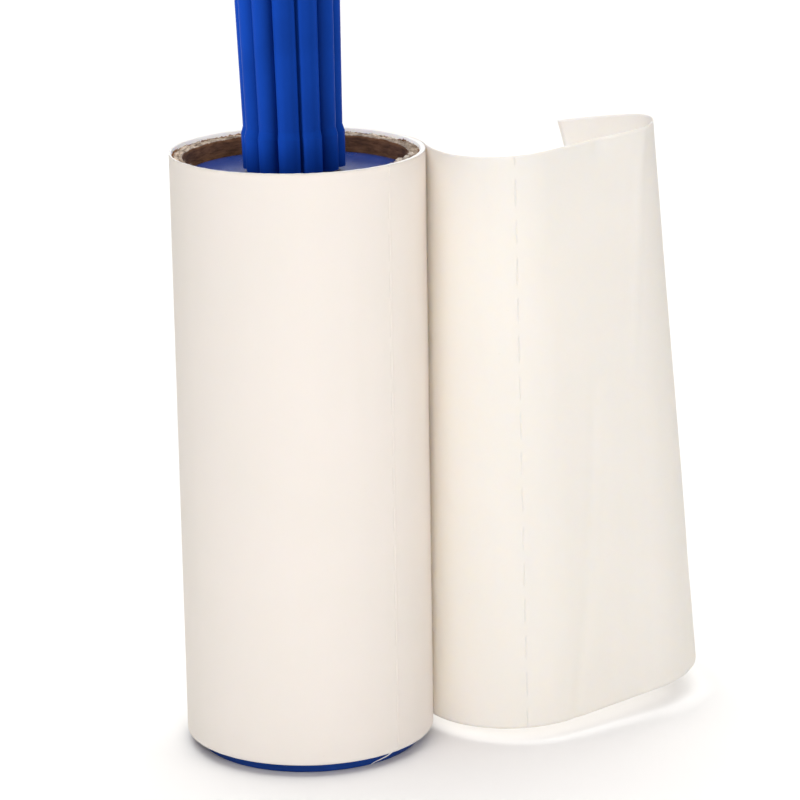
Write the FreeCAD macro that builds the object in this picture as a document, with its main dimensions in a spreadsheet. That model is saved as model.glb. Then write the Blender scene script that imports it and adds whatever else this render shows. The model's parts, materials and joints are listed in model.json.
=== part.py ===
import FreeCAD, Part

import math
import os

import Sketcher

# A lint roller, standing on the end flange of its roller with the handle up.
# Millimetres. Origin: centre of the base face. +Z: up the roller's axis, towards the handle.
# +X: the side on which the first adhesive sheet is peeled off the roll. -Y: the front.

DRIVING_SIZES = (
    # the roll of adhesive paper and its cardboard core
    ("roll_length", 101.6, "length of the roll and of its core, four inches"),
    ("roll_radius", 21.5, "outside of the wound paper"),
    ("core_radius", 20.5, "outside of the cardboard core"),
    ("core_bore", 18.8, "bore of the core, an inch and a half across"),
    ("ply_gap", 0.02, "glue line between two wound layers"),
    ("turn_thick", 0.15, "the outermost turn of paper"),
    # the roller that carries the core
    ("flange_radius", 19.4, "base flange, a little wider than the core's bore"),
    ("flange_thick", 2.1, "base flange"),
    ("flange_round", 0.5, "rounding of the flange's rim"),
    ("disc_recess", 3.7, "how far the upper disc sits inside the core"),
    ("disc_radius", 18.4, "upper disc, clear of the core's bore"),
    ("disc_thick", 2.0, "upper disc"),
    ("hub_radius", 9.0, "outside of the hub tube"),
    ("hub_wall", 1.5, "wall of the hub tube"),
    ("boss_length", 10.0, "how far each end piece plugs into the hub tube"),
    ("boss_gap", 0.05, "glue gap between a boss and the hub tube"),
    ("rib_reach", 18.3, "radius that the ribs reach, just inside the core"),
    ("rib_thick", 1.6, "each rib"),
    ("rib_lead", 2.5, "lead-in chamfer at both ends of a rib"),
    ("bush_radius", 4.5, "outside of both bushes"),
    ("bush_clearance", 0.05, "radial running clearance on the spindle"),
    ("well_radius", 6.0, "well in the base flange for the retaining screw"),
    ("well_depth", 7.0, "depth of that well"),
    ("cover_thick", 1.2, "plug that closes the well"),
    # the handle and its spindle
    ("spindle_radius", 3.0, "spindle that the roller spins on"),
    ("spindle_reach", 16.0, "how far the spindle reaches above the upper disc"),
    ("end_float", 0.2, "axial play of the roller on the spindle"),
    ("washer_radius", 5.4, "thrust washer and retaining washer"),
    ("washer_thick", 0.6, "thrust washer"),
    ("washer_gap", 0.05, "air between the upper disc and the thrust washer"),
    ("grip_gap", 0.15, "air between the thrust washer and the grip"),
    ("retainer_thick", 1.0, "retaining washer"),
    ("screw_radius", 1.4, "shank of the retaining screw"),
    ("screw_head_radius", 2.8, "head of the retaining screw"),
    ("screw_head_thick", 1.4, "head of the retaining screw"),
    ("screw_reach", 9.0, "length of the screw in the spindle"),
    ("grip_foot_radius", 8.2, "over the tops of the grip's lobes at its lower end"),
    ("grip_end_radius", 10.4, "the same at its upper end; the grip widens evenly"),
    ("grip_bore", 4.6, "hollow down the middle of the grip"),
    ("grip_length", 111.0, "fluted length"),
    ("lobe_count", 12, "lobes round the grip"),
    ("lobe_share", 0.225, "radius of a lobe, as a share of the radius over the lobes"),
    ("lobe_turn", 5.0, "how far the first lobe is turned from the front, degrees"),
    ("collar_rise", 0.38, "how far the collar at the grip's foot stands out"),
    ("collar_height", 5.9, "straight part of the collar"),
    ("collar_slope", 1.2, "height over which the collar runs out"),
    ("plug_length", 21.0, "plug in the grip's lower end"),
    ("cap_thick", 3.5, "head of the butt cap"),
    ("cap_overhang", 0.25, "how far the cap stands out past the lobes"),
    ("cap_spigot", 12.0, "how far the cap plugs into the grip"),
    ("cap_round", 1.2, "rounding of the cap's upper edge"),
    ("eye_radius", 6.0, "outside of the hanging eye"),
    ("eye_hole", 2.75, "hole of the hanging eye"),
    ("eye_thick", 5.0, "thickness of the hanging eye"),
    ("eye_rise", 4.5, "centre of the eye above the cap's head"),
    ("neck_sunk", 0.5, "how deep the eye's neck is sunk in the cap's head"),
    ("lean", 1.1, "play in the fit lets the handle lean this far to the left, degrees"),
    ("lean_height", 71.0, "height at which the leaning handle crosses the axis"),
    # the peeled sheet
    ("sheet_thick", 0.4, "stand-in thickness of the peeled sheet"),
    ("sheet_gap", 0.3, "air between the peeled sheet's root and the roll"),
    ("sheet_length", 78.0, "peeled sheet, from the roll to its free end"),
    ("sheet_perforation", 22.0, "perforation, from the roll"),
    ("peel_turn", 98.0, "where the sheet leaves the roll, degrees from the front"),
)

# How the flat sheet is bent: fold lines fan across it, from its top edge to its bottom edge,
# and each row takes the fan on to a distance along the top edge and along the bottom edge
# while turning the sheet to the left by so many degrees. The paper never stretches.
# It leaves the roll towards the front, sweeps out to the right, and curls back on itself,
# tightly at the top and loosely at the bottom.
SHEET_FOLDS = (
    (9.5, 1.5, 21.0),
    (28.5, 30.0, 96.0),
    (47.0, 48.5, -1.0),
    (57.0, 67.0, 56.0),
    (64.0, 87.0, 56.0),
    (88.0, 147.0, 25.0),
)
FOLD_STEP = 6.0   # most degrees that one fold line turns
END_CORNER = 0.2   # distance between the two fold lines where the free end is cut, mm

RIB_COUNT = 4

# Levels up the axis, as expressions on the sheet of sizes.
ROLL_TOP = "dims.flange_thick + dims.roll_length"
DISC_TOP = "dims.flange_thick + dims.roll_length - dims.disc_recess"
DISC_BOTTOM = DISC_TOP + " - dims.disc_thick"
HUB_BORE = "dims.hub_radius - dims.hub_wall"
BOSS_RADIUS = HUB_BORE + " - dims.boss_gap"
BUSH_BORE = "dims.spindle_radius + dims.bush_clearance"
FLANGE_BOSS_TOP = "dims.flange_thick + dims.boss_length"
DISC_BOSS_BOTTOM = DISC_BOTTOM + " - dims.boss_length"
SPINDLE_BOTTOM = "dims.well_depth - dims.end_float"
SPINDLE_TOP = DISC_TOP + " + dims.spindle_reach"
RETAINER_BOTTOM = SPINDLE_BOTTOM + " - dims.retainer_thick"
HEAD_BOTTOM = RETAINER_BOTTOM + " - dims.screw_head_thick"
SCREW_TOP = SPINDLE_BOTTOM + " + dims.screw_reach"
WASHER_BOTTOM = DISC_TOP + " + dims.washer_gap"
WASHER_TOP = WASHER_BOTTOM + " + dims.washer_thick"
GRIP_BOTTOM = WASHER_TOP + " + dims.grip_gap"
GRIP_TOP = GRIP_BOTTOM + " + dims.grip_length"
CAP_TOP = GRIP_TOP + " + dims.cap_thick"
EYE_CENTRE = CAP_TOP + " + dims.eye_rise"
COLLAR_TOP = GRIP_BOTTOM + " + dims.collar_height"
COLLAR_END = COLLAR_TOP + " + dims.collar_slope"

doc = FreeCAD.newDocument("lint_roller")
dims = doc.addObject("Spreadsheet::Sheet", "dims")
for row, (alias, size, note) in enumerate(DRIVING_SIZES, start=1):
    dims.set("A%d" % row, alias)
    dims.set("B%d" % row, str(size))
    dims.set("C%d" % row, note)
    dims.setAlias("B%d" % row, alias)
doc.recompute()

pieces = []


def size_of(expression):
    """The present value of an expression on the sheet of sizes."""
    return float(dims.evalExpression(expression))


def new_body(label):
    body = doc.addObject("PartDesign::Body", label)
    body.Label = label
    pieces.append(body)
    return body


def new_sketch(body, name, plane, level=None):
    """A sketch on one of the body's own origin planes, raised to a level if one is given."""
    sketch = body.newObject("Sketcher::SketchObject", name)
    support = next(f for f in body.Origin.OriginFeatures if f.Role == plane)
    sketch.AttachmentSupport = [(support, "")]
    sketch.MapMode = "FlatFace"
    if level:
        sketch.setExpression("AttachmentOffset.Base.z", level)
    return sketch


def hold(sketch, constraint, expression):
    """Adds a dimension to a sketch and binds it to the sheet of sizes."""
    index = sketch.addConstraint(constraint)
    sketch.setExpression("Constraints[%d]" % index, expression)


def add_polygon(sketch, outline):
    """A closed polygon whose corners are pairs of expressions, (across, up)."""
    corners = [FreeCAD.Vector(size_of(across), size_of(up), 0) for across, up in outline]
    count = len(corners)
    first = sketch.GeometryCount
    for index, corner in enumerate(corners):
        sketch.addGeometry(Part.LineSegment(corner, corners[(index + 1) % count]), False)
    for index in range(count):
        after = first + (index + 1) % count
        sketch.addConstraint(Sketcher.Constraint("Coincident", first + index, 2, after, 1))
    for index, (across, up) in enumerate(outline):
        corner = corners[index]
        line = first + index
        if corner.x == 0:
            sketch.addConstraint(Sketcher.Constraint("PointOnObject", line, 1, -2))
        else:
            hold(sketch, Sketcher.Constraint("DistanceX", -1, 1, line, 1, corner.x), across)
        if corner.y == 0:
            sketch.addConstraint(Sketcher.Constraint("PointOnObject", line, 1, -1))
        else:
            hold(sketch, Sketcher.Constraint("DistanceY", -1, 1, line, 1, corner.y), up)


def add_circle(sketch, radius, across="0", up="0"):
    """A circle whose radius and centre are expressions."""
    centre = FreeCAD.Vector(size_of(across), size_of(up), 0)
    normal = FreeCAD.Vector(0, 0, 1)
    index = sketch.addGeometry(Part.Circle(centre, normal, size_of(radius)), False)
    hold(sketch, Sketcher.Constraint("Radius", index, size_of(radius)), radius)
    if centre.x == 0:
        sketch.addConstraint(Sketcher.Constraint("PointOnObject", index, 3, -2))
    else:
        hold(sketch, Sketcher.Constraint("DistanceX", -1, 1, index, 3, centre.x), across)
    if centre.y == 0:
        sketch.addConstraint(Sketcher.Constraint("PointOnObject", index, 3, -1))
    else:
        hold(sketch, Sketcher.Constraint("DistanceY", -1, 1, index, 3, centre.y), up)


def add_pad(body, sketch, length, both_ways=False, reversed_way=False):
    pad = body.newObject("PartDesign::Pad", sketch.Name + "_pad")
    pad.Profile = sketch
    pad.setExpression("Length", length)
    pad.Midplane = both_ways
    pad.Reversed = reversed_way
    sketch.Visibility = False
    return pad


def add_loft(body, name, sketches):
    """A straight-sided loft up through sketches at rising levels."""
    loft = body.newObject("PartDesign::AdditiveLoft", name + "_loft")
    loft.Profile = sketches[0]
    loft.Sections = sketches[1:]
    loft.Ruled = True
    for sketch in sketches:
        sketch.Visibility = False
    return loft


def cut_through(body, sketch):
    """A pocket through everything, both ways from its sketch. It must take material away."""
    doc.recompute()
    before = body.Shape.Volume
    pocket = body.newObject("PartDesign::Pocket", sketch.Name + "_pocket")
    pocket.Profile = sketch
    pocket.Type = "ThroughAll"
    pocket.Midplane = True
    doc.recompute()
    if not body.Shape.Volume < before:
        raise RuntimeError("%s cuts nothing" % pocket.Name)
    return pocket


def turned(label, outline):
    """A turned piece: its half section, as (radius, height), swept once round the axis."""
    body = new_body(label)
    sketch = new_sketch(body, label + "_section", "XZ_Plane")
    add_polygon(sketch, outline)
    turn = body.newObject("PartDesign::Revolution", label + "_turn")
    turn.Profile = sketch
    turn.ReferenceAxis = (sketch, ["V_Axis"])
    turn.Angle = 360
    sketch.Visibility = False
    return body


def ring(label, inner, outer, low, high):
    """A plain tube or washer."""
    return turned(label, ((inner, low), (outer, low), (outer, high), (inner, high)))


def lean(piece):
    """Leans a piece of the handle to the left about the height where it crosses the axis."""
    turn = FreeCAD.Rotation(FreeCAD.Vector(0, 1, 0), -size_of("dims.lean"))
    centre = FreeCAD.Vector(0, 0, size_of("dims.lean_height"))
    piece.Placement = FreeCAD.Placement(FreeCAD.Vector(0, 0, 0), turn, centre)


def round_edges(body, radius, wanted):
    """Fillets those edges of the body's present tip that the test accepts."""
    doc.recompute()
    tip = body.Tip
    names = [
        "Edge%d" % (index + 1)
        for index, edge in enumerate(tip.Shape.Edges)
        if wanted(edge)
    ]
    fillet = body.newObject("PartDesign::Fillet", body.Name + "_round")
    fillet.Base = (tip, names)
    fillet.setExpression("Radius", radius)
    return fillet


# ---- the roller that the core slides onto ----

def make_lower_flange():
    """Base flange with a boss that plugs into the hub tube, and a well for the screw."""
    body = turned("lower_flange", (
        ("dims.well_radius", "0"),
        ("dims.flange_radius", "0"),
        ("dims.flange_radius", "dims.flange_thick"),
        (BOSS_RADIUS, "dims.flange_thick"),
        (BOSS_RADIUS, FLANGE_BOSS_TOP),
        ("dims.bush_radius", FLANGE_BOSS_TOP),
        ("dims.bush_radius", "dims.well_depth"),
        ("dims.well_radius", "dims.well_depth"),
    ))
    rim = size_of("dims.flange_radius")
    round_edges(body, "dims.flange_round", lambda edge: (
        isinstance(edge.Curve, Part.Circle) and abs(edge.Curve.Radius - rim) < 0.01))


def make_upper_disc():
    """The disc seen inside the top of the core, with its own boss in the hub tube."""
    turned("upper_disc", (
        ("dims.bush_radius", DISC_BOSS_BOTTOM),
        (BOSS_RADIUS, DISC_BOSS_BOTTOM),
        (BOSS_RADIUS, DISC_BOTTOM),
        ("dims.disc_radius", DISC_BOTTOM),
        ("dims.disc_radius", DISC_TOP),
        ("dims.bush_radius", DISC_TOP),
    ))


def make_rib(number):
    """One of the ribs that stand out from the hub tube and centre the core."""
    body = new_body("core_rib_%d" % (number + 1))
    sketch = new_sketch(body, "rib_outline_%d" % (number + 1), "XZ_Plane")
    low = "dims.flange_thick"
    add_polygon(sketch, (
        ("dims.hub_radius", low),
        ("dims.rib_reach - dims.rib_lead", low),
        ("dims.rib_reach", low + " + dims.rib_lead"),
        ("dims.rib_reach", DISC_BOTTOM + " - dims.rib_lead"),
        ("dims.rib_reach - dims.rib_lead", DISC_BOTTOM),
        ("dims.hub_radius", DISC_BOTTOM),
    ))
    add_pad(body, sketch, "dims.rib_thick", both_ways=True)
    turn = FreeCAD.Rotation(FreeCAD.Vector(0, 0, 1), 45 + number * 360.0 / RIB_COUNT)
    body.Placement = FreeCAD.Placement(FreeCAD.Vector(0, 0, 0), turn)


def make_roller():
    make_lower_flange()
    make_upper_disc()
    ring("hub_tube", HUB_BORE, "dims.hub_radius", "dims.flange_thick", DISC_BOTTOM)
    ring("lower_bush", BUSH_BORE, "dims.bush_radius", "dims.well_depth", FLANGE_BOSS_TOP)
    ring("upper_bush", BUSH_BORE, "dims.bush_radius", DISC_BOSS_BOTTOM, DISC_TOP)
    turned("flange_cover", (
        ("0", "0"),
        ("dims.well_radius", "0"),
        ("dims.well_radius", "dims.cover_thick"),
        ("0", "dims.cover_thick"),
    ))
    for number in range(RIB_COUNT):
        make_rib(number)


# ---- the handle ----

def grip_radius_at(level, in_collar):
    """Radius over the lobes at a level of the evenly widening grip, as an expression."""
    share = "(%s - (%s)) / dims.grip_length" % (level, GRIP_BOTTOM)
    widened = "(dims.grip_end_radius - dims.grip_foot_radius) * " + share
    collar = " + dims.collar_rise" if in_collar else ""
    return "(dims.grip_foot_radius + %s%s)" % (widened, collar)


def make_grip():
    """Fluted grip that widens upwards: overlapping round lobes, a collar and a hollow."""
    body = new_body("grip")
    angle = "(270 - dims.lobe_turn) * 1deg"
    sections = ((GRIP_BOTTOM, True), (COLLAR_TOP, True), (COLLAR_END, False), (GRIP_TOP, False))
    middles, lobes = [], []
    for number, (level, in_collar) in enumerate(sections):
        over_lobes = grip_radius_at(level, in_collar)
        centre = "%s * (1 - dims.lobe_share)" % over_lobes
        lobe = new_sketch(body, "grip_lobe_%d" % number, "XY_Plane", level)
        add_circle(
            lobe, "%s * dims.lobe_share" % over_lobes,
            "%s * cos(%s)" % (centre, angle),
            "%s * sin(%s)" % (centre, angle),
        )
        lobes.append(lobe)
        if level in (GRIP_BOTTOM, GRIP_TOP):
            middle = new_sketch(body, "grip_middle_%d" % number, "XY_Plane", level)
            add_circle(middle, centre)
            middles.append(middle)
    add_loft(body, "grip_core", middles)
    lobe_loft = add_loft(body, "grip_lobe", lobes)
    doc.recompute()
    pattern = body.newObject("PartDesign::PolarPattern", "grip_lobes")
    pattern.Originals = [lobe_loft]
    pattern.Axis = (middles[0], ["N_Axis"])
    pattern.Angle = 360
    pattern.setExpression("Occurrences", "dims.lobe_count")
    body.Tip = pattern
    bore = new_sketch(body, "grip_hollow", "XY_Plane", GRIP_BOTTOM)
    add_circle(bore, "dims.grip_bore")
    cut_through(body, bore)
    lean(body)


def make_grip_plug():
    """Plug in the grip's lower end. It leans with the grip, but its hole holds the spindle."""
    blank = doc.addObject("Part::Cylinder", "plug_blank")
    blank.setExpression("Radius", "dims.grip_bore")
    blank.setExpression("Height", "dims.plug_length")
    hole = doc.addObject("Part::Cylinder", "plug_hole")
    hole.setExpression("Radius", "dims.spindle_radius")
    hole.setExpression("Height", "%s - (%s)" % (SPINDLE_TOP, DISC_TOP))
    turn = FreeCAD.Rotation(FreeCAD.Vector(0, 1, 0), -size_of("dims.lean"))
    centre = FreeCAD.Vector(0, 0, size_of("dims.lean_height") - size_of(GRIP_BOTTOM))
    blank.Placement = FreeCAD.Placement(FreeCAD.Vector(0, 0, size_of(GRIP_BOTTOM)), turn, centre)
    hole.Placement.Base.z = size_of(DISC_TOP)
    plug = doc.addObject("Part::Cut", "grip_plug")
    plug.Label = "grip_plug"
    plug.Base = blank
    plug.Tool = hole
    pieces.append(plug)


def make_butt_cap():
    """Cap on the handle's end: a spigot in the grip, a round head and a hanging eye."""
    body = new_body("butt_cap")
    head = new_sketch(body, "cap_head", "XY_Plane", GRIP_TOP)
    add_circle(head, "dims.grip_end_radius + dims.cap_overhang")
    add_pad(body, head, "dims.cap_thick")
    top = size_of(CAP_TOP)
    round_edges(body, "dims.cap_round", lambda edge: (
        isinstance(edge.Curve, Part.Circle) and abs(edge.Curve.Center.z - top) < 0.01))
    spigot = new_sketch(body, "cap_spigot", "XY_Plane", GRIP_TOP)
    add_circle(spigot, "dims.grip_bore")
    add_pad(body, spigot, "dims.cap_spigot", reversed_way=True)
    neck = new_sketch(body, "cap_neck", "XZ_Plane")
    sunk = CAP_TOP + " - dims.neck_sunk"
    left = "-dims.eye_radius"
    add_polygon(neck, (
        (left, sunk),
        ("dims.eye_radius", sunk),
        ("dims.eye_radius", EYE_CENTRE),
        (left, EYE_CENTRE),
    ))
    add_pad(body, neck, "dims.eye_thick", both_ways=True)
    eye = new_sketch(body, "cap_eye", "XZ_Plane")
    add_circle(eye, "dims.eye_radius", "0", EYE_CENTRE)
    add_pad(body, eye, "dims.eye_thick", both_ways=True)
    hole = new_sketch(body, "cap_eye_hole", "XZ_Plane")
    add_circle(hole, "dims.eye_hole", "0", EYE_CENTRE)
    cut_through(body, hole)
    lean(body)


def make_handle():
    make_grip()
    make_grip_plug()
    make_butt_cap()
    turned("spindle", (
        ("dims.screw_radius", SPINDLE_BOTTOM),
        ("dims.spindle_radius", SPINDLE_BOTTOM),
        ("dims.spindle_radius", SPINDLE_TOP),
        ("0", SPINDLE_TOP),
        ("0", SCREW_TOP),
        ("dims.screw_radius", SCREW_TOP),
    ))
    ring("thrust_washer", "dims.spindle_radius", "dims.washer_radius", WASHER_BOTTOM, WASHER_TOP)
    ring("retaining_washer", "dims.screw_radius", "dims.washer_radius",
         RETAINER_BOTTOM, SPINDLE_BOTTOM)
    turned("retaining_screw", (
        ("0", HEAD_BOTTOM),
        ("dims.screw_head_radius", HEAD_BOTTOM),
        ("dims.screw_head_radius", RETAINER_BOTTOM),
        ("dims.screw_radius", RETAINER_BOTTOM),
        ("dims.screw_radius", SCREW_TOP),
        ("0", SCREW_TOP),
    ))


# ---- the refill: a cardboard core wound from plies, and the adhesive paper on it ----

def make_refill():
    layers = (
        ("core_inner_ply", "dims.core_bore", 0.0, 1 / 3),
        ("core_middle_ply", "dims.core_bore", 1 / 3, 2 / 3),
        ("core_outer_ply", "dims.core_bore", 2 / 3, 1.0),
    )
    wall = "(dims.core_radius - dims.core_bore)"
    for label, bore, start, end in layers:
        inner = "%s + %s * %.6f" % (bore, wall, start)
        outer = "%s + %s * %.6f - dims.ply_gap" % (bore, wall, end)
        ring(label, inner, outer, "dims.flange_thick", ROLL_TOP)
    turn_inner = "dims.roll_radius - dims.turn_thick"
    ring("wound_sheets", "dims.core_radius", turn_inner + " - dims.ply_gap",
         "dims.flange_thick", ROLL_TOP)
    ring("outer_turn", turn_inner, "dims.roll_radius", "dims.flange_thick", ROLL_TOP)


# ---- the sheet that has been peeled off the roll ----

def fold_lines():
    """Every fold line of the flat sheet: its top distance, bottom distance and turn."""
    lines = []
    top, bottom = 0.0, 0.0
    for next_top, next_bottom, turn in SHEET_FOLDS:
        steps = math.ceil(abs(turn) / FOLD_STEP)
        for step in range(steps):
            part = (step + 0.5) / steps
            lines.append((
                top + (next_top - top) * part,
                bottom + (next_bottom - bottom) * part,
                turn / steps,
            ))
        top, bottom = next_top, next_bottom
    return lines


def sheet_sections():
    """Thin upright outlines along the bent sheet, each with its distance along the top edge."""
    tall = size_of("dims.roll_length")
    length = size_of("dims.sheet_length")
    half_thick = size_of("dims.sheet_thick") / 2
    radius = size_of("dims.roll_radius + dims.sheet_gap") + half_thick
    peel = size_of("dims.peel_turn")
    start = FreeCAD.Vector(0, -radius, size_of("dims.flange_thick"))
    axis = FreeCAD.Vector(0, 0, 1)
    bent = FreeCAD.Placement(
        FreeCAD.Rotation(axis, peel).multVec(start), FreeCAD.Rotation(axis, peel - 180))
    side = FreeCAD.Vector(0, half_thick, 0)
    sections = []
    end = length - END_CORNER
    stations = [(0.0, 0.0, 0.0)]
    stations += [line for line in fold_lines() if line[0] < end]
    stations.append((end, SHEET_FOLDS[-1][1], 0.0))
    for top, bottom, turn_here in stations:
        high = FreeCAD.Vector(top, 0, tall)
        low = FreeCAD.Vector(bottom, 0, 0)
        if bottom > length:
            low = high + (low - high) * ((length - top) / (bottom - top))
        fold = FreeCAD.Placement(
            FreeCAD.Vector(0, 0, 0), FreeCAD.Rotation(high - low, turn_here), high)
        halfway = FreeCAD.Rotation(high - low, turn_here / 2)
        across = bent.Rotation.multVec(halfway.multVec(side))
        high_now, low_now = bent.multVec(high), bent.multVec(low)
        corners = [low_now - across, high_now - across, high_now + across, low_now + across]
        sections.append((top, Part.makePolygon(corners + corners[:1])))
        bent = bent * fold
    return sections


def make_peeled_sheet():
    """The peeled sheet up to its perforation, and the length beyond the perforation."""
    sections = sheet_sections()
    perforation = size_of("dims.sheet_perforation")
    cut = min(range(len(sections)), key=lambda index: abs(sections[index][0] - perforation))
    for label, run in (
        ("peeled_sheet", sections[:cut + 1]),
        ("sheet_tip", sections[cut:]),
    ):
        piece = doc.addObject("Part::Feature", label)
        piece.Label = label
        piece.Shape = Part.makeLoft([outline for _, outline in run], True, True)
        piece.Placement = FreeCAD.Placement()
        pieces.append(piece)


make_roller()
make_handle()
make_refill()
make_peeled_sheet()
doc.recompute()

for thing in doc.Objects:
    if "Invalid" in thing.State or "Error" in thing.State:
        raise RuntimeError("%s failed: %s" % (thing.Name, thing.State))
for piece in pieces:
    if piece.Shape.isNull() or not piece.Shape.isValid():
        raise RuntimeError("%s has no valid shape" % piece.Label)

os.makedirs("parts", exist_ok=True)
for piece in pieces:
    piece.Shape.exportStep("parts/%s.step" % piece.Label)
    box = piece.Shape.BoundBox
    print("%-18s %9.1f mm3  solids %d  z %.2f to %.2f" % (
        piece.Label, piece.Shape.Volume, len(piece.Shape.Solids), box.ZMin, box.ZMax))
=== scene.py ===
import json
import math

import bmesh
import bpy
import numpy as np
from mathutils import Matrix, Vector


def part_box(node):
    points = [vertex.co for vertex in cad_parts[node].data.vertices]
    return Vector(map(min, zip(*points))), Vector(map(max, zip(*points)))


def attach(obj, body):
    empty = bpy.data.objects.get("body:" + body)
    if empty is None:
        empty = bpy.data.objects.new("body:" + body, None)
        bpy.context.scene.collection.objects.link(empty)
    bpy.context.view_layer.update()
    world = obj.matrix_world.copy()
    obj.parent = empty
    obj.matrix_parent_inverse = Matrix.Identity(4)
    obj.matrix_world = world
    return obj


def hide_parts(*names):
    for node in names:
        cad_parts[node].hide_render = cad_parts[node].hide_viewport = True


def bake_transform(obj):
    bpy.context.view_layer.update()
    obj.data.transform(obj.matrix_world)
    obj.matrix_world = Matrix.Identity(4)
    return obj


# A lint roller that stands on its base flange, in metres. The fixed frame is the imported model;
# this script gives it its materials, and replaces the plain paper and board with detailed ones.

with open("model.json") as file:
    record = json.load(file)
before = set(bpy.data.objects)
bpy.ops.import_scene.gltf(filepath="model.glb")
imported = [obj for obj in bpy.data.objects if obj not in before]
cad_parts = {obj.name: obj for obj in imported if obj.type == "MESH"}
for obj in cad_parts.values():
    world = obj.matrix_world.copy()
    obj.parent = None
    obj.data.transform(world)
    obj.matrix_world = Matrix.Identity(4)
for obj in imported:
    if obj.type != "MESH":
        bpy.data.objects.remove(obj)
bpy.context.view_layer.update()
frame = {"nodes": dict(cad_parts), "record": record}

MM = 0.001

# ---- places and sizes, in millimetres, from the frame where it can give them ----

roll_low, roll_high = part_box("outer_turn")
ROLL_RADIUS = roll_high.x / MM
ROLL_BOTTOM = roll_low.z / MM
ROLL_TOP = roll_high.z / MM
ROLL_LENGTH = ROLL_TOP - ROLL_BOTTOM
# The drawn core is a little wider than its solid, as the thin ring of paper round it needs.
CORE_GROWTH = 0.35
CORE_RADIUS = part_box("core_outer_ply")[1].x / MM + CORE_GROWTH
DISC_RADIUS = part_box("upper_disc")[1].x / MM
CORE_BORE = DISC_RADIUS + 0.4
PLY_SHARES = (0.38, 0.8)
PLY_RADII = [CORE_BORE + (CORE_RADIUS - CORE_BORE) * share for share in PLY_SHARES]
CORE_SHIFT = 0.3
CORE_SHORTER = 0.6
CORE_LENGTH = ROLL_LENGTH - CORE_SHORTER

PAPER_THICK = 0.13
PERFORATION_PERIOD = 6.7
PERFORATION_CUT = 4.2
# How far each row of cuts starts from the paper's bottom edge, and the roll's row in degrees.
ROLL_CUT_START = 1.1
SHEET_CUT_START = 0.6
ROLL_PERFORATION = 43.6
# What the roll's wall keeps clear of the solid's radius, for its waves to stand out into.
WALL_ALLOWANCE = 0.1

# The peeled sheet: the same folds as its solid has. A row takes the fan of fold lines on to a
# distance along the top edge and the bottom edge, and turns the paper left by so many degrees.
SHEET_FOLDS = (
    (9.5, 1.5, 21.0),
    (28.5, 30.0, 96.0),
    (47.0, 48.5, -1.0),
    (57.0, 67.0, 56.0),
    (64.0, 87.0, 56.0),
    (88.0, 147.0, 25.0),
)
FOLD_STEP = 0.4
SHEET_LENGTH = 78.0
SHEET_PERFORATION = 21.65
PERFORATION_BOTTOM = 20.45
PERFORATION_TOP = 22.85
# Width of the sheet's slits, and how far its root and its tucked part sit into the roll.
SLIT_WIDTH = 0.04
ROOT_SUNK = 0.02
PEEL_TURN = 98.0
TUCK_LENGTH = 9.0
TUCK_SUNK = 0.28

# The loose thread: radius, level and turn in degrees from the roll's edge down to its end.
THREAD_PLACES = (
    (21.35, 2.3, 40.5),
    (21.2, 1.75, 37.6),
    (20.9, 1.35, 34.6),
    (20.4, 0.9, 31.8),
    (20.0, 0.35, 29.6),
)
THREAD_RADIUS = 0.11
THREAD_SIDES = 6
THREAD_STEPS = 25


# ---- small helpers ----

def place(points):
    """Metres from an array of millimetres."""
    return np.asarray(points, float) * MM


def add_mesh(name, points, faces, smooth=True):
    """A mesh object from points in millimetres, without the points that no face uses."""
    used = np.unique(np.concatenate([np.ravel(face) for face in faces]))
    renumber = np.full(len(points), -1)
    renumber[used] = np.arange(len(used))
    mesh = bpy.data.meshes.new(name)
    corners = [renumber[np.asarray(face)].tolist() for face in faces]
    mesh.from_pydata(place(points)[used].tolist(), [], corners)
    mesh.validate()
    mesh.update()
    if smooth:
        mesh.polygons.foreach_set("use_smooth", [True] * len(mesh.polygons))
    piece = bpy.data.objects.new(name, mesh)
    bpy.context.scene.collection.objects.link(piece)
    return piece


def waves(position, period, seed, count=6, spread=3.0):
    """Smooth uneven waves of about unit height: sines near one period, with seeded phases."""
    rng = np.random.default_rng(seed)
    total = np.zeros(np.shape(position))
    for _ in range(count):
        pitch = period * spread ** rng.uniform(-1, 1)
        total = total + np.sin(2 * math.pi * (position / pitch + rng.uniform()))
    return total / math.sqrt(count)


def ring_waves(turns, lowest, highest, seed, count=8):
    """The same round a ring: turns is in radians, and each sine fits a whole number of times."""
    rng = np.random.default_rng(seed)
    total = np.zeros(np.shape(turns))
    for _ in range(count):
        times = int(rng.integers(lowest, highest + 1))
        total = total + np.sin(times * turns + rng.uniform(0, 2 * math.pi))
    return total / math.sqrt(count)


def ridge(distance, width):
    """A smooth bump of height 1 at distance 0."""
    return np.exp(-(distance / width) ** 2)


def in_cut(height, shift=0.0):
    """True where a perforation's cut is, by height above the paper's bottom edge."""
    return np.mod(height + shift, PERFORATION_PERIOD) < PERFORATION_CUT


def torus_faces(around, along):
    """Quads of a grid that closes on itself both ways, the first index going round the axis."""
    first = np.arange(around)[:, None]
    second = np.arange(along)[None, :]
    here = first * along + second
    next_turn = ((first + 1) % around) * along + second
    here_on = first * along + (second + 1) % along
    next_on = ((first + 1) % around) * along + (second + 1) % along
    return np.stack([here, next_turn, next_on, here_on], -1).reshape(-1, 4)


def turned_points(radius, height, angle):
    """Points round the axis; the angle is in radians from the front, towards the right."""
    return np.stack([radius * np.sin(angle), -radius * np.cos(angle), height], -1)


# ---- materials ----

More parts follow.
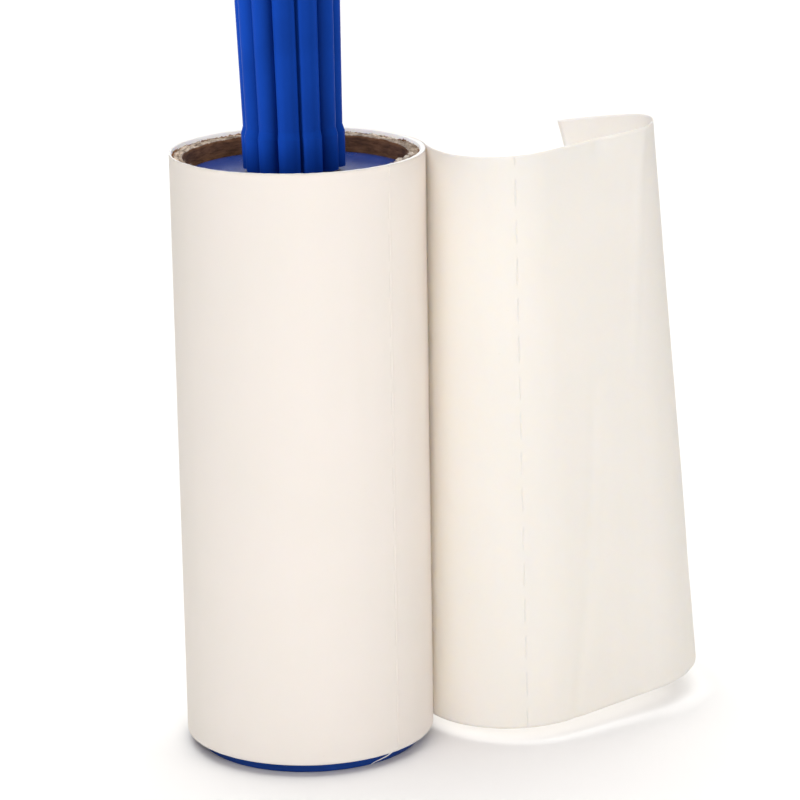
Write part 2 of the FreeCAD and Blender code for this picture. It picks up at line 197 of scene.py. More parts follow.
def new_material(name, colour, roughness, **more):
    """A material and its Principled shader; more names further sockets of it."""
    material = bpy.data.materials.new(name)
    material.use_nodes = True
    shader = material.node_tree.nodes["Principled BSDF"]
    shader.inputs["Base Color"].default_value = (*colour, 1)
    shader.inputs["Roughness"].default_value = roughness
    for socket, value in more.items():
        shader.inputs[socket.replace("_", " ")].default_value = value
    return material, shader


def add_node(material, kind, **settings):
    """A node of a kind, with its sockets or its properties set."""
    node = material.node_tree.nodes.new(kind)
    for key, value in settings.items():
        if key in node.inputs:
            node.inputs[key].default_value = value
        else:
            setattr(node, key, value)
    return node


def link(material, source, target):
    """Joins one node's output to another's input."""
    material.node_tree.links.new(source, target)


def stretched_coordinates(material, stretch):
    """Object coordinates scaled by stretch, so that a pattern can run along the axis."""
    coordinates = add_node(material, "ShaderNodeTexCoord")
    mapping = add_node(material, "ShaderNodeMapping")
    mapping.inputs["Scale"].default_value = stretch
    link(material, coordinates.outputs["Object"], mapping.inputs["Vector"])
    return mapping.outputs["Vector"]


def noise(material, vector, scale, detail=4.0, roughness=0.55):
    """A noise pattern's value from 0 to 1; scale is in cycles per metre."""
    node = add_node(material, "ShaderNodeTexNoise")
    node.inputs["Scale"].default_value = scale
    node.inputs["Detail"].default_value = detail
    node.inputs["Roughness"].default_value = roughness
    link(material, vector, node.inputs["Vector"])
    return node.outputs["Fac"]


def ramp(material, source, stops):
    """A colour ramp; stops are pairs of position and colour."""
    node = add_node(material, "ShaderNodeValToRGB")
    elements = node.color_ramp.elements
    while len(elements) < len(stops):
        elements.new(0.5)
    for element, (position, colour) in zip(elements, stops):
        element.position = position
        element.color = (*colour, 1)
    link(material, source, node.inputs["Fac"])
    return node.outputs["Color"]


def mix_colours(material, factor, first, second, blend="MIX"):
    """Two colours mixed; each is a plain colour or another node's output."""
    node = add_node(material, "ShaderNodeMix", data_type="RGBA", blend_type=blend)
    for socket, value in ((0, factor), (6, first), (7, second)):
        if isinstance(value, (int, float)):
            node.inputs[socket].default_value = value
        elif isinstance(value, tuple):
            node.inputs[socket].default_value = (*value, 1)
        else:
            link(material, value, node.inputs[socket])
    return node.outputs[2]


def span(material, source, low, high):
    """A value from 0 to 1 stretched to run from low to high."""
    node = add_node(material, "ShaderNodeMapRange")
    node.inputs["To Min"].default_value = low
    node.inputs["To Max"].default_value = high
    link(material, source, node.inputs["Value"])
    return node.outputs["Result"]


def add_bump(material, shader, heights, distance, strength=1.0):
    """Bumps from one or more height patterns, each at its own distance in metres."""
    normal = None
    for height, far in zip(heights, distance):
        bump = add_node(material, "ShaderNodeBump")
        bump.inputs["Strength"].default_value = strength
        bump.inputs["Distance"].default_value = far
        link(material, height, bump.inputs["Height"])
        if normal is not None:
            link(material, normal, bump.inputs["Normal"])
        normal = bump.outputs["Normal"]
    link(material, normal, shader.inputs["Normal"])


def scaled(colour, factor):
    """A colour made darker or lighter by a factor."""
    return tuple(channel * factor for channel in colour)


# Depths of the bumps, in metres.
LINE_DEPTH = 0.00003
GRAIN_DEPTH = 0.000012
FIBRE_DEPTH = 0.000018
CLOUD_DEPTH = 0.00008
BOARD_FIBRE_DEPTH = 0.00016
BLOTCH_DEPTH = 0.0001
BRUSH_DEPTH = 0.00001
# How a pattern is stretched along each axis: not at all, or as a moulded disc's is.
EVEN = (1, 1, 1)
SWIRLED = (60, 60, 60)
# How far light spreads inside the paper, in metres, for red, green and blue.
PAPER_SPREAD = (0.0009, 0.0007, 0.0005)


def moulded_plastic(name, colour, roughness, draw=(900, 900, 12), shine=0.5):
    """Moulded plastic: slight tone changes, drawn lines along the axis and a fine grain."""
    material, shader = new_material(name, colour, roughness, IOR=1.49)
    shader.inputs["Specular IOR Level"].default_value = shine
    along = stretched_coordinates(material, draw)
    even = stretched_coordinates(material, EVEN)
    tone = noise(material, even, 60, detail=3)
    colours = ramp(material, tone, ((0.3, scaled(colour, 0.88)), (0.7, scaled(colour, 1.12))))
    link(material, colours, shader.inputs["Base Color"])
    lines = noise(material, along, 1.0, detail=2)
    grain = noise(material, even, 2600, detail=3)
    wear = noise(material, even, 240, detail=5)
    worn = span(material, wear, roughness - 0.07, roughness + 0.09)
    link(material, worn, shader.inputs["Roughness"])
    add_bump(material, shader, (lines, grain), (LINE_DEPTH, GRAIN_DEPTH), 0.6)
    return material


def paper_material(name, colour, warm, gloss=0.62, glow=0.12):
    """Cream paper: clouded tone, fine fibres, and a low sheen from its release coat."""
    material, shader = new_material(name, colour, gloss, IOR=1.45)
    shader.inputs["Subsurface Weight"].default_value = glow
    shader.inputs["Subsurface Radius"].default_value = PAPER_SPREAD
    shader.inputs["Subsurface Scale"].default_value = 1.0
    even = stretched_coordinates(material, EVEN)
    clouds = noise(material, even, 55, detail=5)
    upright = stretched_coordinates(material, (1, 1, 0.35))
    fibres = noise(material, upright, 1900, detail=5, roughness=0.7)
    tint = ramp(material, clouds, ((0.3, colour), (0.72, warm)))
    specks = ramp(material, noise(material, even, 3300, detail=1), (
        (0.17, scaled(colour, 0.86)), (0.24, (1, 1, 1))))
    flecked = mix_colours(material, 0.35, tint, specks, "MULTIPLY")
    link(material, flecked, shader.inputs["Base Color"])
    link(material, span(material, fibres, gloss - 0.08, gloss + 0.1), shader.inputs["Roughness"])
    add_bump(material, shader, (fibres, clouds), (FIBRE_DEPTH, CLOUD_DEPTH), 0.5)
    return material


def board_material(name, dark, light, stretch=(1, 1, 6)):
    """Brown board: long fibres, blotches and pale flecks."""
    material, shader = new_material(name, dark, 0.9)
    shader.inputs["Specular IOR Level"].default_value = 0.25
    grain = stretched_coordinates(material, stretch)
    fibres = noise(material, grain, 420, detail=7, roughness=0.72)
    blotches = noise(material, stretched_coordinates(material, EVEN), 170, detail=4)
    base = ramp(material, fibres, ((0.32, dark), (0.62, light)))
    shade = ramp(material, blotches, ((0.35, (0.55, 0.55, 0.55)), (0.65, (1.1, 1.1, 1.1))))
    link(material, mix_colours(material, 0.8, base, shade, "MULTIPLY"), shader.inputs["Base Color"])
    add_bump(material, shader, (fibres, blotches), (BOARD_FIBRE_DEPTH, BLOTCH_DEPTH), 0.8)
    return material


def brushed_metal(name):
    """Turned steel with fine lines across it."""
    material, shader = new_material(name, (0.62, 0.62, 0.64), 0.3, Metallic=1.0)
    lines = noise(material, stretched_coordinates(material, (1, 1, 40)), 300, detail=3)
    link(material, span(material, lines, 0.22, 0.42), shader.inputs["Roughness"])
    add_bump(material, shader, (lines,), (BRUSH_DEPTH,), 0.5)
    return material


# Colours in linear light.
BLUE = (0.0045, 0.036, 0.245)
DEEP_BLUE = (0.009, 0.050, 0.270)
BUSH_WHITE = (0.62, 0.61, 0.57)
PAPER_COLOUR = (0.915, 0.850, 0.768)
PAPER_WARM = (0.935, 0.860, 0.785)
PAPER_CUT = (0.94, 0.90, 0.84)
PAPER_CUT_WARM = (0.97, 0.94, 0.90)
# The peeled sheet's front face: the paper's colour made darker, painted shade.
SHEET_FACE_SHADED = (0.860, 0.797, 0.718)
SHEET_FACE_WARM = (0.880, 0.803, 0.730)
# The peeled sheet's back face: the paper's colour made lighter, painted light.
SHEET_BACK_LIT = (0.955, 0.895, 0.830)
SHEET_BACK_WARM = (0.965, 0.905, 0.845)
BROWN = ((0.130, 0.052, 0.020), (0.340, 0.165, 0.074))
GREY_BROWN = ((0.13, 0.075, 0.040), (0.74, 0.61, 0.48))
TORN = ((0.62, 0.52, 0.42), (0.86, 0.78, 0.68))

# One material for each of the record's slots, and a few more: for surfaces that differ within one,
# and for the peeled sheet's painted shade and light.
materials = {
    "handle_plastic": moulded_plastic("handle_plastic", BLUE, 0.36, shine=0.015),
    "roller_plastic": moulded_plastic("roller_plastic", DEEP_BLUE, 0.32, SWIRLED, 0.10),
    "bush_plastic": moulded_plastic("bush_plastic", BUSH_WHITE, 0.45),
    "steel": brushed_metal("steel"),
    "board": board_material("board", *BROWN),
    "grey_board": board_material("grey_board", *GREY_BROWN, EVEN),
    "paper": paper_material("paper", PAPER_COLOUR, PAPER_WARM),
}
paper_edge = paper_material("paper_edge", PAPER_CUT, PAPER_CUT_WARM, 0.8, glow=0.4)
# The sheet's front face: a darker copy of the paper, with shade painted into its colour.
loose_paper_shaded = paper_material("loose_paper_shaded", SHEET_FACE_SHADED, SHEET_FACE_WARM, 0.58, glow=0.7)
# The sheet's back face: a lighter copy of the paper, with light painted into its colour.
paper_back_lit = paper_material("paper_back_lit", SHEET_BACK_LIT, SHEET_BACK_WARM, 0.66, glow=0.7)
disc_plastic = moulded_plastic("disc_plastic", DEEP_BLUE, 0.24, SWIRLED, 0.5)
torn_board = board_material("torn_board", *TORN, EVEN)


def paint(piece, *chosen):
    """The chosen materials, in order, as the piece's material slots."""
    piece.data.materials.clear()
    for material in chosen:
        piece.data.materials.append(material)


for part in frame["record"]["subparts"]:
    paint(frame["nodes"][part["node"]], materials[part["material_slot"]])
paint(frame["nodes"]["upper_disc"], disc_plastic)


# ---- the wound roll of paper ----
# Heights, widths and depths in the relief of the paper and the board are in millimetres.

def roll_angles():
    """Angles round the roll, close together at the perforation."""
    coarse = np.radians(np.arange(0, 360, 1.2))
    centre = math.radians(ROLL_PERFORATION)
    offsets = np.array([-1.2, -0.7, -0.4, -0.2, -0.09, -0.035, 0.035, 0.09, 0.2, 0.4, 0.7, 1.2])
    fine = centre + offsets / ROLL_RADIUS
    keep = abs(coarse - centre) > 1.5 / ROLL_RADIUS
    return np.sort(np.concatenate([coarse[keep], fine]))


def make_paper_roll():
    """Outer turn with its perforation, and wound turns that show at both ends."""
    angle = roll_angles()
    rows = np.linspace(0, ROLL_LENGTH, 190)
    turns = np.linspace(ROLL_RADIUS, CORE_RADIUS + 0.02, 13)[1:]
    turn, row = np.meshgrid(angle, rows, indexing="ij")
    off = (turn - math.radians(ROLL_PERFORATION)) * ROLL_RADIUS
    wall = np.full(turn.shape, ROLL_RADIUS - WALL_ALLOWANCE)
    wall += 0.045 * ring_waves(turn, 2, 5, 11) + 0.018 * ring_waves(turn, 9, 30, 12)
    wall += 0.02 * waves(row, 45, 13) * ring_waves(turn, 1, 3, 14)
    wall += 0.10 * np.exp(-abs(off) / 2.2)
    cut = in_cut(row, ROLL_CUT_START).astype(float)
    wall += cut * (0.05 * ridge(off - 0.2, 0.14) - 0.16 * ridge(off, 0.06))
    wall += (1 - cut) * 0.03 * ridge(off, 0.3)
    end_dip = 0.03 * ring_waves(angle, 3, 9, 15)[:, None]
    height = ROLL_BOTTOM + row + end_dip * (row / ROLL_LENGTH)
    round_off = 0.06 * (ridge(row, 0.25) + ridge(row - ROLL_LENGTH, 0.25))
    wall -= round_off
    end_turn, end_radius = np.meshgrid(angle, turns, indexing="ij")
    layer = np.floor((ROLL_RADIUS - end_radius) / (2 * (turns[0] - turns[1]))).astype(int)
    rng = np.random.default_rng(21)
    steps = rng.normal(0, 0.02, 40)
    rough = 0.02 * ring_waves(end_turn + layer, 20, 70, 22) + steps[layer]
    groove = 0.02 * (np.arange(len(turns)) % 2)[None, :]
    top = ROLL_TOP - 0.05 + end_dip + rough - groove
    bottom = ROLL_BOTTOM + 0.06 + groove - 0.5 * rough
    radius = np.concatenate([wall, end_radius, end_radius[:, ::-1]], 1)
    level = np.concatenate([height, top, bottom[:, ::-1]], 1)
    points = turned_points(radius, level, angle[:, None])
    inward = (ROLL_RADIUS - radius) / (ROLL_RADIUS - CORE_RADIUS)
    points[..., 0] -= CORE_SHIFT * np.clip(inward, 0, 1)
    faces = torus_faces(len(angle), radius.shape[1])
    piece = add_mesh("paper_roll", points.reshape(-1, 3), faces)
    paint(piece, materials["paper"], paper_edge)
    slots = ((faces[:, 0] % radius.shape[1]) >= len(rows) - 1).astype(int)
    piece.data.polygons.foreach_set("material_index", slots.tolist())
    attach(piece, "refill")
    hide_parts("wound_sheets", "outer_turn")
    return piece


# ---- the cardboard core ----

def edge_waver(turn, seed):
    """Crushed plies where the core was cut: they weave in and out, most at the right."""
    at_right = np.exp(-((np.cos(turn - math.radians(88)) - 1) / 0.35) ** 2)
    return (0.07 + 0.20 * at_right) * ring_waves(turn, 24, 70, seed)


def make_ply(name, node, inner, outer, seed, is_inner, is_outer):
    """One wound ply of the core: a crushed cut end, and a spiral seam on the inner ply."""
    angle = np.radians(np.arange(0, 360, 0.75))
    rows = np.concatenate([
        np.linspace(0, 6, 16), np.linspace(8, 90, 40), np.linspace(92, CORE_LENGTH, 30)])
    turn, row = np.meshgrid(angle, rows, indexing="ij")
    near_top = ridge(row - CORE_LENGTH, 1.0)
    end_fade = ridge(row, 1.2) + near_top
    fuzz = 0.035 * ring_waves(turn, 90, 230, seed + 1)
    inner_wall = inner + 0.02 * ring_waves(turn, 3, 12, seed + 2) + end_fade * fuzz
    outer_wall = np.full(turn.shape, float(outer)) + 0.6 * end_fade * fuzz
    if is_inner:
        lead = 0.75 * CORE_LENGTH
        seam = np.mod(row - lead * turn / (2 * math.pi), lead) - 0.3 * lead
        inner_wall += 0.10 * ridge(seam, 0.35) + 0.3 * ridge(row - CORE_LENGTH, 0.35)
    else:
        inner_wall += near_top * edge_waver(turn, seed)
    if not is_outer:
        outer_wall += near_top * edge_waver(turn, seed + 7)
    uneven = 0.11 * ring_waves(turn, 5, 30, seed + 3) + 0.09 * ring_waves(turn, 60, 230, seed + 4)
    top_rise = uneven * near_top
    low_rise = abs(uneven) * ridge(row, 0.8)
    burr = ridge(row - CORE_LENGTH, 0.05)
    outer_level = ROLL_BOTTOM + row + top_rise - 0.10 * burr + low_rise
    inner_level = ROLL_BOTTOM + row + 0.7 * top_rise - 0.14 * burr + low_rise
    radius = np.concatenate([outer_wall, inner_wall[:, ::-1]], 1)
    level = np.concatenate([outer_level, inner_level[:, ::-1]], 1)
    points = turned_points(radius, level, turn[:, :1])
    points[..., 0] -= CORE_SHIFT
    faces = torus_faces(len(angle), radius.shape[1])
    piece = add_mesh(name, points.reshape(-1, 3), faces)
    paint(piece, materials["board"], materials["board" if is_outer else "grey_board"])
    spot = faces[:, 0] % radius.shape[1]
    near_end = (abs(spot - (len(rows) - 1)) < 2) | (spot == radius.shape[1] - 1)
    piece.data.polygons.foreach_set("material_index", near_end.astype(int).tolist())
    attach(piece, "refill")
    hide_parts(node)
    return piece


def make_core():
    """The three plies that the core is wound from."""
    radii = [CORE_BORE] + PLY_RADII + [CORE_RADIUS]
    names = ("core_inner_ply", "core_middle_ply", "core_outer_ply")
    for index, node in enumerate(names):
        make_ply("board_" + node, node, radii[index] + 0.05, radii[index + 1] - 0.05,
                 31 + 7 * index, index == 0, index == 2)


def make_core_fuzz():
    """Torn fibres on the cut edge: short bent slivers, thicker towards the front right."""
    rng = np.random.default_rng(77)
    points, faces = [], []
    for _ in range(300):
        front_right = rng.uniform() < 0.4
        turn = math.radians(rng.normal(85, 22) if front_right else rng.uniform(50, 310))
        radius = rng.uniform(CORE_BORE + 0.1, CORE_RADIUS - 0.15)
        length = rng.uniform(0.25, 0.9) * (1.5 if front_right else 1.0)
        width = rng.uniform(0.04, 0.12)
        heading = rng.uniform(0, 2 * math.pi)
        run = np.array([math.cos(heading), math.sin(heading), 0])
        side = np.array([-run[1], run[0], 0]) * width
        start = turned_points(radius, ROLL_BOTTOM + CORE_LENGTH - 0.1, turn)
        bend = rng.uniform(0.05, 0.28)
        first = len(points)
        for part in (0.0, 0.5, 1.0):
            middle = start + run * length * (part - 0.5)
            middle = middle + np.array([0, 0, bend * 4 * part * (1 - part) + 0.03])
            reach = math.hypot(middle[0], middle[1])
            if reach > CORE_RADIUS - 0.1:
                middle[:2] *= (CORE_RADIUS - 0.1) / reach
            middle[0] -= CORE_SHIFT
            taper = 1 - 0.6 * abs(2 * part - 1)
            thick = np.array([0, 0, 0.03])
            points += [middle - side * taper, middle + side * taper, middle + thick]
        for step in (0, 3):
            a = first + step
            faces += [(a, a + 1, a + 4, a + 3), (a + 1, a + 2, a + 5, a + 4)]
            faces.append((a + 2, a, a + 3, a + 5))
        faces += [(first, first + 2, first + 1), (first + 6, first + 7, first + 8)]
    piece = add_mesh("core_fibres", np.array(points), faces, smooth=False)
    paint(piece, materials["grey_board"])
    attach(piece, "refill")


def make_torn_bit(name, turn_degrees, radius, size, rise, seed):
    """A crumpled flake of torn board that stands on the core's cut edge."""
    rng = np.random.default_rng(seed)
    mesh = bmesh.new()
    bmesh.ops.create_icosphere(mesh, subdivisions=4, radius=1.0)
    shifts = rng.uniform(0, 9, 3)
    turn = math.radians(turn_degrees)
    outward = Vector((math.sin(turn), -math.cos(turn), 0))
    along = Vector((math.cos(turn), math.sin(turn), 0))
    middle = outward * radius - Vector((CORE_SHIFT, 0, 0))
    base = ROLL_BOTTOM + CORE_LENGTH + rise
    for vertex in mesh.verts:
        x, y, z = vertex.co
        lump = 1 + 0.22 * math.sin(3 * x + 2 * z + shifts[0]) * math.cos(4 * y + shifts[1])
        lump += 0.12 * math.sin(9 * z + 7 * x + shifts[2]) + 0.06 * math.sin(19 * y + 15 * x)
        x, y, z = x * lump * size[0], y * lump * size[1], z * lump * size[2]
        z += 0.25 * size[2] * math.sin(2.2 * x / size[0] + shifts[0])
        vertex.co = (middle + along * x + outward * y + Vector((0, 0, base + z))) * MM
    data = bpy.data.meshes.new(name)
    mesh.to_mesh(data)
    mesh.free()
    data.polygons.foreach_set("use_smooth", [True] * len(data.polygons))
    piece = bpy.data.objects.new(name, data)
    bpy.context.scene.collection.objects.link(piece)
    paint(piece, torn_board)
    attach(piece, "refill")


def make_torn_bits():
    """Three flakes along the front right of the cut edge."""
    make_torn_bit("torn_bit_front", 61, 19.35, (1.15, 0.45, 0.42), -0.02, 5)
    make_torn_bit("torn_bit_middle", 70.5, 19.3, (0.95, 0.42, 0.36), 0.0, 6)
    make_torn_bit("torn_bit_right", 80, 19.5, (0.7, 0.5, 0.3), 0.0, 8)


# ---- the peeled sheet ----

def fold_transforms():
    """The fan of fold lines across the flat sheet, and how the paper lies after each of them."""
    radius = ROLL_RADIUS + PAPER_THICK / 2 - ROOT_SUNK
    turn = math.radians(PEEL_TURN)
    heading = math.radians(PEEL_TURN - 180)
    basis = np.array(Matrix.Rotation(heading, 3, "Z"))
    origin = np.array([radius * math.sin(turn), -radius * math.cos(turn), ROLL_BOTTOM])
    tops, bottoms, bases, origins = [], [], [basis], [origin]
    top, bottom = 0.0, 0.0
    for next_top, next_bottom, degrees in SHEET_FOLDS:
        steps = math.ceil(abs(degrees) / FOLD_STEP)
        for step in range(steps):
            part = (step + 0.5) / steps
            across = top + (next_top - top) * part
            below = bottom + (next_bottom - bottom) * part
            high = np.array([across, 0, ROLL_LENGTH])
            line = Vector((across - below, 0, ROLL_LENGTH)).normalized()
            fold = np.array(Matrix.Rotation(math.radians(degrees / steps), 3, line))
            origin = basis @ (high - fold @ high) + origin
            basis = basis @ fold
            tops.append(across)
            bottoms.append(below)
            bases.append(basis)
            origins.append(origin)
        top, bottom = next_top, next_bottom
    return np.array(tops), np.array(bottoms), np.array(bases), np.array(origins)


def bend_sheet(along, height, lift):
    """Where the flat sheet's points go. lift moves them off the paper, to its inner side."""
    tops, bottoms, bases, origins = fold_transforms()
    points = np.zeros(along.shape + (3,))
    for row in range(along.shape[1]):
        share = height[0, row] / ROLL_LENGTH
        lines = bottoms + (tops - bottoms) * share
        index = np.searchsorted(lines, along[:, row])
        flat = np.stack([along[:, row], lift[:, row], height[:, row]], -1)
        points[:, row] = np.einsum("nij,nj->ni", bases[index], flat) + origins[index]
    return points


def sheet_columns():
    """Distances along the sheet, close together at the perforation and the creases."""
    coarse = np.arange(0, SHEET_LENGTH + 0.01, 0.75)
    edge = SLIT_WIDTH / 2
    slit = np.array([-1.0, -0.5, -0.22, -edge, edge, 0.22, 0.5, 1.0]) + SHEET_PERFORATION
    keep = abs(coarse - SHEET_PERFORATION) > 1.2
    columns = np.sort(np.concatenate([coarse[keep], slit]))
    columns[-1] = SHEET_LENGTH
    return columns


def thick_sheet(name, front, back, kept):
    """A closed sheet between two grids of points, without the quads that aren't kept."""
    rows, columns = front.shape[:2]
    count = rows * columns
    index = np.arange(count).reshape(rows, columns)
    quads = np.stack([index[:-1, :-1], index[1:, :-1], index[1:, 1:], index[:-1, 1:]], -1)
    quads = quads[kept]
    edges = {}
    for quad in quads.tolist():
        for corner in range(4):
            a, b = quad[corner], quad[(corner + 1) % 4]
            key = (min(a, b), max(a, b))
            edges[key] = None if key in edges else (a, b)
    rim = [(b, a, a + count, b + count) for a, b in filter(None, edges.values())]
    faces = quads.tolist() + (quads[:, ::-1] + count).tolist() + rim
    points = np.concatenate([front.reshape(-1, 3), back.reshape(-1, 3)])
    return add_mesh(name, points, faces), len(quads), len(rim)


def crease_offset(along, height, places):
    """Distance from a crease that runs through places on the flat sheet, (height, along)."""
    heights, alongs = zip(*places)
    return along - np.interp(height, heights, alongs)


def perforation_offset(along, height):
    """Distance from the row of cuts, which runs a little askew up the sheet."""
    share = height / ROLL_LENGTH
    return along - (PERFORATION_BOTTOM + (PERFORATION_TOP - PERFORATION_BOTTOM) * share)


def sheet_relief(along, height):
    """How far the paper stands off its smooth bend: creases, a dent and slow waves."""
    lift = 0.06 * waves(along, 26, 51) * waves(height, 60, 52)
    past_curve = np.clip((along - 26) / 9, 0, 1)
    lift += 0.05 * waves(along, 8, 53, spread=1.6) * ridge(height - 18, 42) * past_curve
    tall = crease_offset(along, height, ((60, 45.6), (67, 46.2), (94, 48.8), (101.6, 50.2)))
    lift -= 0.30 * ridge(tall, 0.8) * np.clip((height - 58) / 12, 0, 1)
    long = crease_offset(along, height, ((0, 29.6), (9, 31.2), (21, 33.5), (39, 35.0), (57, 36.8)))
    lift += 0.20 * ridge(long, 1.0) * np.clip((64 - height) / 14, 0, 1)
    lift += 0.65 * ridge(along - 39.8, 1.2) * ridge(height - ROLL_LENGTH, 2.2)
    return lift


def make_peeled_paper():
    """The peeled sheet, one piece from under the roll's outer turn to its curled free end."""
    columns = sheet_columns()
    rows = np.linspace(0, ROLL_LENGTH, 205)
    along, height = np.meshgrid(columns, rows, indexing="ij")
    askew = perforation_offset(SHEET_PERFORATION, height)
    along = along - askew * np.interp(along, (10, 20, 25, 38), (0, 1, 1, 0))
    relief = sheet_relief(along, height)
    off = perforation_offset(along, height)
    cut = in_cut(height, SHEET_CUT_START)
    relief = relief - cut * 0.03 * ridge(off - 0.2, 0.3)
    half = PAPER_THICK / 2
    front = bend_sheet(along, height, relief - half)
    back = bend_sheet(along, height, relief + half)
    middle_column = (columns[:-1] + columns[1:]) / 2
    middle_row = (rows[:-1] + rows[1:]) / 2
    slit = abs(middle_column - SHEET_PERFORATION) < SLIT_WIDTH
    kept = ~(slit[:, None] & in_cut(middle_row, SHEET_CUT_START)[None, :])
    tuck = make_tuck(rows)
    front = np.concatenate([tuck[0], front])
    back = np.concatenate([tuck[1], back])
    kept = np.concatenate([np.ones((len(tuck[0]), len(rows) - 1), bool), kept])
    piece, quads, rim = thick_sheet("peeled_paper", front, back, kept)
    # The front face gets the darker copy of the paper, painted shade; the back face gets the
    # lighter copy, painted light.
    paint(piece, loose_paper_shaded, paper_back_lit)
    piece.data.polygons.foreach_set("material_index", [0] * quads + [1] * quads + [0] * rim)
    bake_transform(piece)
    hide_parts("peeled_sheet", "sheet_tip")
    return piece


def make_tuck(rows):
    """The paper just before it leaves the roll: it comes up out of the wound turns."""
    steps = np.linspace(TUCK_LENGTH, 0.6, 12)
    back_off, height = np.meshgrid(steps, rows, indexing="ij")
    angle = math.radians(PEEL_TURN) + back_off / ROLL_RADIUS
    dip = TUCK_SUNK * (back_off / TUCK_LENGTH) ** 1.5
    sunk = ROLL_RADIUS + PAPER_THICK / 2 - ROOT_SUNK - dip
    level = ROLL_BOTTOM + height
    half = PAPER_THICK / 2
    return (turned_points(sunk + half, level, angle), turned_points(sunk - half, level, angle))


def make_thread():
    """A fine paper thread that curls from the roll's lower edge down over the flange."""
    line = np.array([
        turned_points(radius, level, math.radians(turn)) for radius, level, turn in THREAD_PLACES])
    share = np.linspace(0, 1, len(line))
    fine = np.linspace(0, 1, THREAD_STEPS)
    path = np.stack([np.interp(fine, share, line[:, axis]) for axis in range(3)], -1)
    path[1:-1] = (path[:-2] + 2 * path[1:-1] + path[2:]) / 4
    ahead = np.gradient(path, axis=0)
    ahead /= np.linalg.norm(ahead, axis=1)[:, None]
    side = np.cross(ahead, (0, 0, 1))
    side /= np.linalg.norm(side, axis=1)[:, None]
    rise = np.cross(side, ahead)
    width = THREAD_RADIUS * (1 - 0.5 * fine)
    spokes = np.radians(np.arange(0, 360, 360 / THREAD_SIDES))
    ring = [path + width[:, None] * (side * math.cos(a) + rise * math.sin(a)) for a in spokes]
    points = np.stack(ring, 1)
    faces = []
    for step in range(THREAD_STEPS - 1):
        for spoke in range(THREAD_SIDES):
            a = step * THREAD_SIDES + spoke
            b = step * THREAD_SIDES + (spoke + 1) % THREAD_SIDES
            faces.append((a, b, b + THREAD_SIDES, a + THREAD_SIDES))
    last = (THREAD_STEPS - 1) * THREAD_SIDES
    faces += [tuple(range(THREAD_SIDES - 1, -1, -1)), tuple(range(last, last + THREAD_SIDES))]
    piece = add_mesh("paper_thread", points.reshape(-1, 3), faces)
    paint(piece, paper_edge)
    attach(piece, "refill")


make_thread()
make_paper_roll()
make_core()
make_core_fuzz()
make_torn_bits()
make_peeled_paper()


# ---- the stage, the lights and the camera ----

FLOOR_REACH = 6.0


def make_stage():
    """A plain near-white floor."""
    mesh = bpy.data.meshes.new("floor")
    signs = ((-1, -1), (1, -1), (1, 1), (-1, 1))
    corners = [(x * FLOOR_REACH, y * FLOOR_REACH, 0) for x, y in signs]
    mesh.from_pydata(corners, [], [(0, 1, 2, 3)])
    floor = bpy.data.objects.new("floor", mesh)
    bpy.context.scene.collection.objects.link(floor)
    material, shader = new_material("floor_white", (0.93, 0.93, 0.93), 0.85)
    clouds = noise(material, stretched_coordinates(material, EVEN), 3.0)
    tone = ramp(material, clouds, ((0.3, (0.92, 0.92, 0.92)), (0.7, (0.94, 0.94, 0.94))))
    link(material, tone, shader.inputs["Base Color"])
    floor.data.materials.append(material)


def add_area_light(name, place_at, aim_at, size, power, colour=(1, 1, 1)):
    """A rectangular lamp that faces a point, in metres and watts."""
    light = bpy.data.lights.new(name, "AREA")
    light.shape = "RECTANGLE"
    light.size, light.size_y = size
    light.energy = power
    light.color = colour
    lamp = bpy.data.objects.new(name, light)
    bpy.context.scene.collection.objects.link(lamp)
    lamp.location = place_at
    lamp.rotation_euler = (Vector(aim_at) - Vector(place_at)).to_track_quat("-Z", "Y").to_euler()
    return lamp


# The studio's lamps: place, size, power and colour.
LIGHTS = (
    ("front_fill", (0.10, -1.20, 0.55), (0.8, 0.5), 6.3, (1.0, 0.985, 1.03)),
    ("high_left", (-0.50, -0.90, 1.00), (0.6, 0.6), 3.3, (1.0, 0.985, 1.02)),
    ("right_fill", (0.95, -0.30, 0.30), (0.3, 0.5), 0.5, (1.0, 0.985, 1.0)),
    ("overhead", (0.0, 0.5, 1.9), (2.6, 2.6), 57.0, (1.0, 0.99, 0.955)),
    ("behind", (0.1, 1.5, 0.55), (1.6, 0.8), 3.0, (1.0, 1.0, 1.0)),
)
# Lamps for the handle alone, which has more side light and less front light than the paper:
# place, size and power.
HANDLE_LIGHTS = (
    ("handle_left", (-0.66, -0.36, 0.17), (0.12, 0.4), 8.0),
    ("handle_front", (-0.10, -0.74, 0.17), (0.12, 0.4), 0.9),
    ("handle_right", (0.73, -0.17, 0.17), (0.12, 0.4), 5.0),
    ("handle_back", (0.25, 0.75, 0.17), (0.3, 0.4), 4.5),
)
HANDLE_NODES = ("grip", "butt_cap")
LIGHTS_FOR_ALL = ("overhead",)
LIGHT_AIM = (0.01, 0, 0.07)
WORLD_LIGHT = 0.02


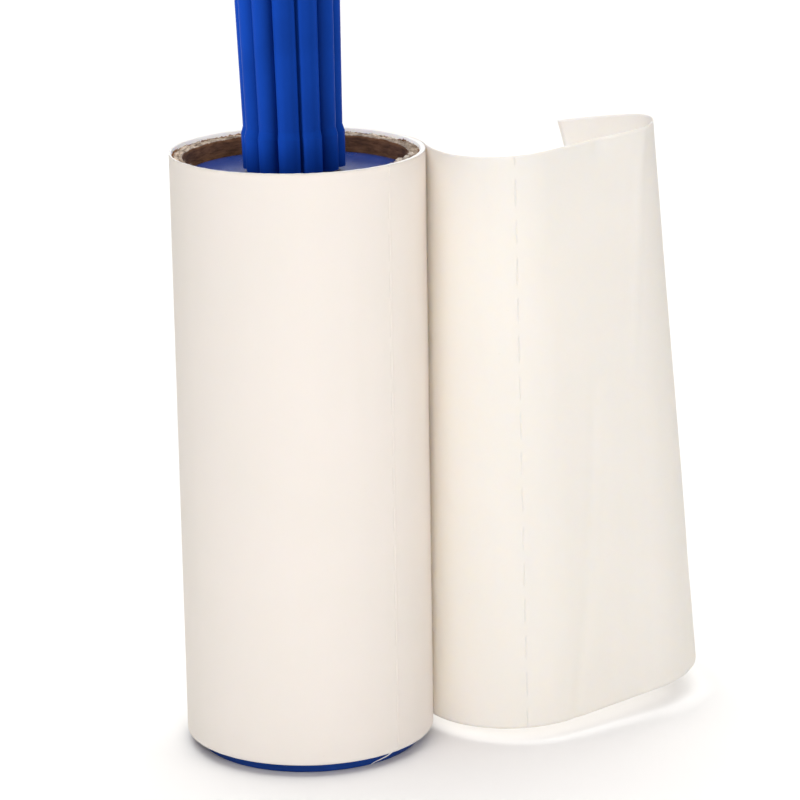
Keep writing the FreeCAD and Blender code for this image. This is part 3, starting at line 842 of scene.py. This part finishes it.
def light_scene():
    """A dim white world, the studio's lamps, and the handle's own."""
    world = bpy.data.worlds.new("studio")
    bpy.context.scene.world = world
    world.use_nodes = True
    background = world.node_tree.nodes["Background"]
    background.inputs["Color"].default_value = (1.0, 1.0, 1.0, 1)
    background.inputs["Strength"].default_value = WORLD_LIGHT
    handle = bpy.data.collections.new("handle_pieces")
    beside = bpy.data.collections.new("all_but_the_handle")
    for node in HANDLE_NODES:
        handle.objects.link(frame["nodes"][node])
        beside.objects.link(frame["nodes"][node])
    for entry in beside.collection_objects:
        entry.light_linking.link_state = "EXCLUDE"
    for name, place_at, size, power, colour in LIGHTS:
        lamp = add_area_light(name, place_at, LIGHT_AIM, size, power, colour)
        if name not in LIGHTS_FOR_ALL:
            lamp.light_linking.receiver_collection = beside
    for name, place_at, size, power in HANDLE_LIGHTS:
        lamp = add_area_light(name, place_at, (0, 0, place_at[2]), size, power)
        lamp.light_linking.receiver_collection = handle
        lamp.visible_glossy = False
    bpy.context.scene.view_settings.view_transform = "Standard"


# The camera's turns in radians, its place in millimetres, and its lens.
CAMERA_PITCH, CAMERA_YAW, CAMERA_ROLL = 0.2625, 0.0302, -0.0158
CAMERA_DISTANCE, CAMERA_RISE = 545.8, 206.6
CAMERA_LENS, CAMERA_SENSOR = 149.05, 36.0


def add_camera():
    """The camera, in front of the roller and a little above it."""
    pitch, yaw, roll = CAMERA_PITCH, CAMERA_YAW, CAMERA_ROLL
    forward = Vector((
        math.sin(yaw) * math.cos(pitch), math.cos(yaw) * math.cos(pitch), -math.sin(pitch)))
    right = Vector((math.cos(yaw), -math.sin(yaw), 0))
    up = right.cross(forward)
    across = math.cos(roll) * right + math.sin(roll) * up
    upright = -math.sin(roll) * right + math.cos(roll) * up
    data = bpy.data.cameras.new("camera")
    data.lens = CAMERA_LENS
    data.sensor_width = CAMERA_SENSOR
    data.clip_start = 0.05
    camera = bpy.data.objects.new("camera", data)
    bpy.context.scene.collection.objects.link(camera)
    turn = Matrix((across, upright, -forward)).transposed().to_4x4()
    stand = Matrix.Translation((0, -CAMERA_DISTANCE * MM, CAMERA_RISE * MM))
    camera.matrix_world = stand @ turn
    bpy.context.scene.camera = camera


make_stage()
light_scene()
add_camera()
